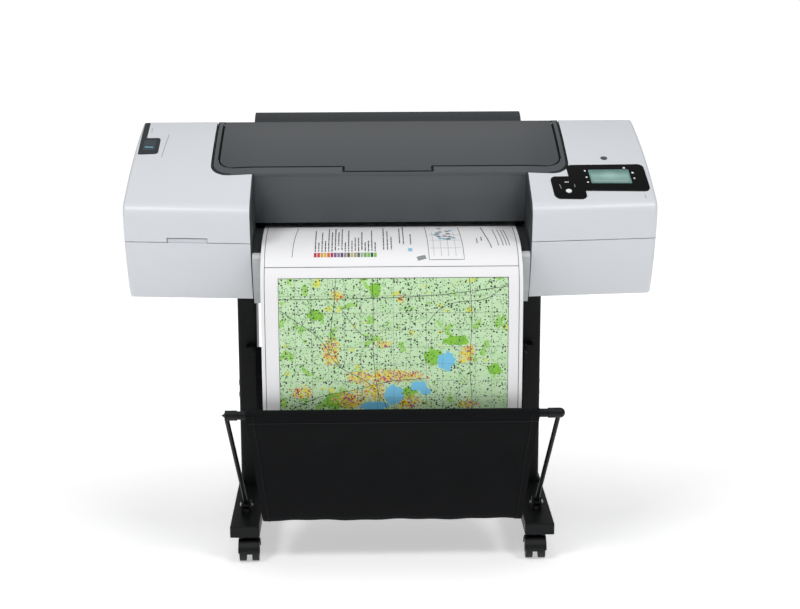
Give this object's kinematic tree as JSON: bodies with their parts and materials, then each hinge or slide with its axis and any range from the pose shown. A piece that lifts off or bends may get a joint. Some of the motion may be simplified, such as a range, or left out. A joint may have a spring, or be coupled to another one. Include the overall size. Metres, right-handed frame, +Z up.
{
  "type": "large format plotter",
  "caption": "Large format roll plotter on a wheeled stand, with a hinged lid, roll cover, ink door, printing carriage, paper drive, control panel and a swinging fabric catch basket.",
  "frame": {"origin": "on the floor, under the middle of the bounding box", "axes": "+X to the user's right, +Y from the front to the back, +Z up"},
  "size_m": [1.2594, 0.6999, 1.042],
  "materials": {
    "cover_white": "satin white",
    "hood_grey": "dark grey gloss",
    "dark_plastic": "matt black",
    "guide_grey": "light grey",
    "zinc_steel": "zinc-plated",
    "beam_aluminium": "extruded",
    "encoder_film": "clear film with fine lines",
    "roller_rubber": "matt",
    "gear_plastic": "moulded",
    "black_plastic": "matt black",
    "board_green": "solder mask",
    "panel_black": "piano black",
    "screen": "lit display",
    "button_white": "lit white",
    "stand_black": "black powder coat",
    "fitting_black": "moulded black",
    "sling_fabric": "woven polyester",
    "paper": "matt coated paper",
    "caster_black": "moulded black",
    "wheel_rubber": "matt tread"
  },
  "bodies": {
    "chassis": {"left_cover": "cover_white", "right_cover": "cover_white", "right_lower_cover": "cover_white", "hood": "hood_grey", "recess_walls": "dark_plastic", "platen": "dark_plastic", "rear_cover": "dark_plastic", "service_station": "dark_plastic", "ink_bay": "dark_plastic", "front_guide": "guide_grey", "roll_brackets": "guide_grey", "base_tray": "zinc_steel", "side_frames": "zinc_steel", "guide_rods": "zinc_steel", "power_supply": "zinc_steel", "hinge_pins": "zinc_steel", "stand_bolts": "zinc_steel", "beam": "beam_aluminium", "encoder_strip": "encoder_film", "drive_belt": "roller_rubber", "ink_cartridges": "black_plastic", "rear_sockets": "black_plastic", "drive_motors": "black_plastic", "main_board": "board_green", "control_panel": "panel_black", "display_screen": "screen", "legs": "stand_black", "feet": "stand_black", "cross_brace": "stand_black", "rear_bar": "stand_black", "basket_sling": "sling_fabric", "printed_sheet": "paper"},
    "lid": {"main_lid": "hood_grey"},
    "roll_cover": {"roll_cover": "dark_plastic"},
    "spindle": {"spindle": "zinc_steel", "spindle_hubs": "dark_plastic", "paper_roll": "paper"},
    "ink_door": {"ink_door": "cover_white"},
    "load_lever": {"load_lever": "dark_plastic"},
    "power_button": {"power_button": "button_white"},
    "carriage": {"carriage": "dark_plastic", "printheads": "black_plastic"},
    "scan_pulley": {"scan_pulley": "beam_aluminium"},
    "idler_pulley": {"idler_pulley": "beam_aluminium"},
    "cutter": {"cutter": "dark_plastic"},
    "drive_roller": {"drive_roller": "roller_rubber", "roller_gear": "gear_plastic"},
    "motor_pinion": {"motor_pinion": "gear_plastic"},
    "pinch_rollers": {"pinch_rollers": "zinc_steel"},
    "basket": {"basket_bar": "stand_black", "basket_corners": "fitting_black", "basket_arms": "stand_black"},
    "caster_fork_front_left": {"caster_fork_front_left": "caster_black"},
    "caster_wheels_front_left": {"caster_wheels_front_left": "wheel_rubber"},
    "caster_fork_front_right": {"caster_fork_front_right": "caster_black"},
    "caster_wheels_front_right": {"caster_wheels_front_right": "wheel_rubber"},
    "caster_fork_rear_left": {"caster_fork_rear_left": "caster_black"},
    "caster_wheels_rear_left": {"caster_wheels_rear_left": "wheel_rubber"},
    "caster_fork_rear_right": {"caster_fork_rear_right": "caster_black"},
    "caster_wheels_rear_right": {"caster_wheels_rear_right": "wheel_rubber"}
  },
  "joints": [
    {"name": "lid_hinge", "type": "hinge", "parent": "chassis", "child": "lid", "pos_m": [0, 0.145, 1.02313], "axis": [-1, 0, 0], "range_deg": [0, 80]},
    {"name": "roll_cover_hinge", "type": "hinge", "parent": "chassis", "child": "roll_cover", "pos_m": [0, 0.2, 1.02], "axis": [1, 0, 0], "range_deg": [0, 70]},
    {"name": "spindle_spin", "type": "hinge", "parent": "chassis", "child": "spindle", "pos_m": [0, 0.258, 0.95], "axis": [1, 0, 0], "continuous": true},
    {"name": "ink_door_hinge", "type": "hinge", "parent": "chassis", "child": "ink_door", "pos_m": [-0.48, -0.145, 0.653], "axis": [1, 0, 0], "range_deg": [0, 90]},
    {"name": "load_lever_hinge", "type": "hinge", "parent": "chassis", "child": "load_lever", "pos_m": [-0.606, 0.146, 1.02321], "axis": [-1, 0, 0], "range_deg": [0, 35]},
    {"name": "power_button_push", "type": "slide", "parent": "chassis", "child": "power_button", "axis": [0, 0.4685, -0.8835], "range_m": [0, 0.0015], "stiffness_N_per_m": 400},
    {"name": "carriage_slide", "type": "slide", "parent": "chassis", "child": "carriage", "axis": [1, 0, 0], "range_m": [-0.96, 0]},
    {"name": "scan_pulley_spin", "type": "hinge", "parent": "chassis", "child": "scan_pulley", "pos_m": [0.572, 0.046, 0.89], "axis": [0, 1, 0], "continuous": true},
    {"name": "idler_pulley_spin", "type": "hinge", "parent": "chassis", "child": "idler_pulley", "pos_m": [-0.572, 0.046, 0.89], "axis": [0, 1, 0], "continuous": true},
    {"name": "cutter_slide", "type": "slide", "parent": "chassis", "child": "cutter", "axis": [1, 0, 0], "range_m": [0, 0.7]},
    {"name": "drive_roller_spin", "type": "hinge", "parent": "chassis", "child": "drive_roller", "pos_m": [0, 0.055, 0.7875], "axis": [1, 0, 0], "continuous": true},
    {"name": "motor_pinion_spin", "type": "hinge", "parent": "chassis", "child": "motor_pinion", "pos_m": [0.6, 0.0933, 0.7875], "axis": [1, 0, 0], "continuous": true},
    {"name": "pinch_roller_spin", "type": "hinge", "parent": "chassis", "child": "pinch_rollers", "pos_m": [0, 0.055, 0.8068], "axis": [1, 0, 0], "continuous": true},
    {"name": "basket_swing", "type": "hinge", "parent": "chassis", "child": "basket", "pos_m": [0, -0.12, 0.108], "axis": [-1, 0, 0], "range_deg": [0, 30], "deforming": ["basket_sling", "printed_sheet"]},
    {"name": "caster_swivel_front_left", "type": "hinge", "parent": "chassis", "child": "caster_fork_front_left", "pos_m": [-0.35, -0.2, 0.06], "axis": [0, 0, 1], "continuous": true},
    {"name": "caster_roll_front_left", "type": "hinge", "parent": "caster_fork_front_left", "child": "caster_wheels_front_left", "pos_m": [-0.35, -0.216, 0.026], "axis": [1, 0, 0], "continuous": true},
    {"name": "caster_swivel_front_right", "type": "hinge", "parent": "chassis", "child": "caster_fork_front_right", "pos_m": [0.35, -0.2, 0.06], "axis": [0, 0, 1], "continuous": true},
    {"name": "caster_roll_front_right", "type": "hinge", "parent": "caster_fork_front_right", "child": "caster_wheels_front_right", "pos_m": [0.35, -0.216, 0.026], "axis": [1, 0, 0], "continuous": true},
    {"name": "caster_swivel_rear_left", "type": "hinge", "parent": "chassis", "child": "caster_fork_rear_left", "pos_m": [-0.35, 0.288, 0.06], "axis": [0, 0, 1], "continuous": true},
    {"name": "caster_roll_rear_left", "type": "hinge", "parent": "caster_fork_rear_left", "child": "caster_wheels_rear_left", "pos_m": [-0.35, 0.272, 0.026], "axis": [1, 0, 0], "continuous": true},
    {"name": "caster_swivel_rear_right", "type": "hinge", "parent": "chassis", "child": "caster_fork_rear_right", "pos_m": [0.35, 0.288, 0.06], "axis": [0, 0, 1], "continuous": true},
    {"name": "caster_roll_rear_right", "type": "hinge", "parent": "caster_fork_rear_right", "child": "caster_wheels_rear_right", "pos_m": [0.35, 0.272, 0.026], "axis": [1, 0, 0], "continuous": true}
  ],
  "couplings": [
    {"joint": "scan_pulley_spin", "follows": "carriage_slide", "rad_per_m": -112.36},
    {"joint": "idler_pulley_spin", "follows": "carriage_slide", "rad_per_m": -112.36},
    {"joint": "motor_pinion_spin", "follows": "drive_roller_spin", "ratio": -3.75},
    {"joint": "pinch_roller_spin", "follows": "drive_roller_spin", "ratio": -2.4}
  ]
}
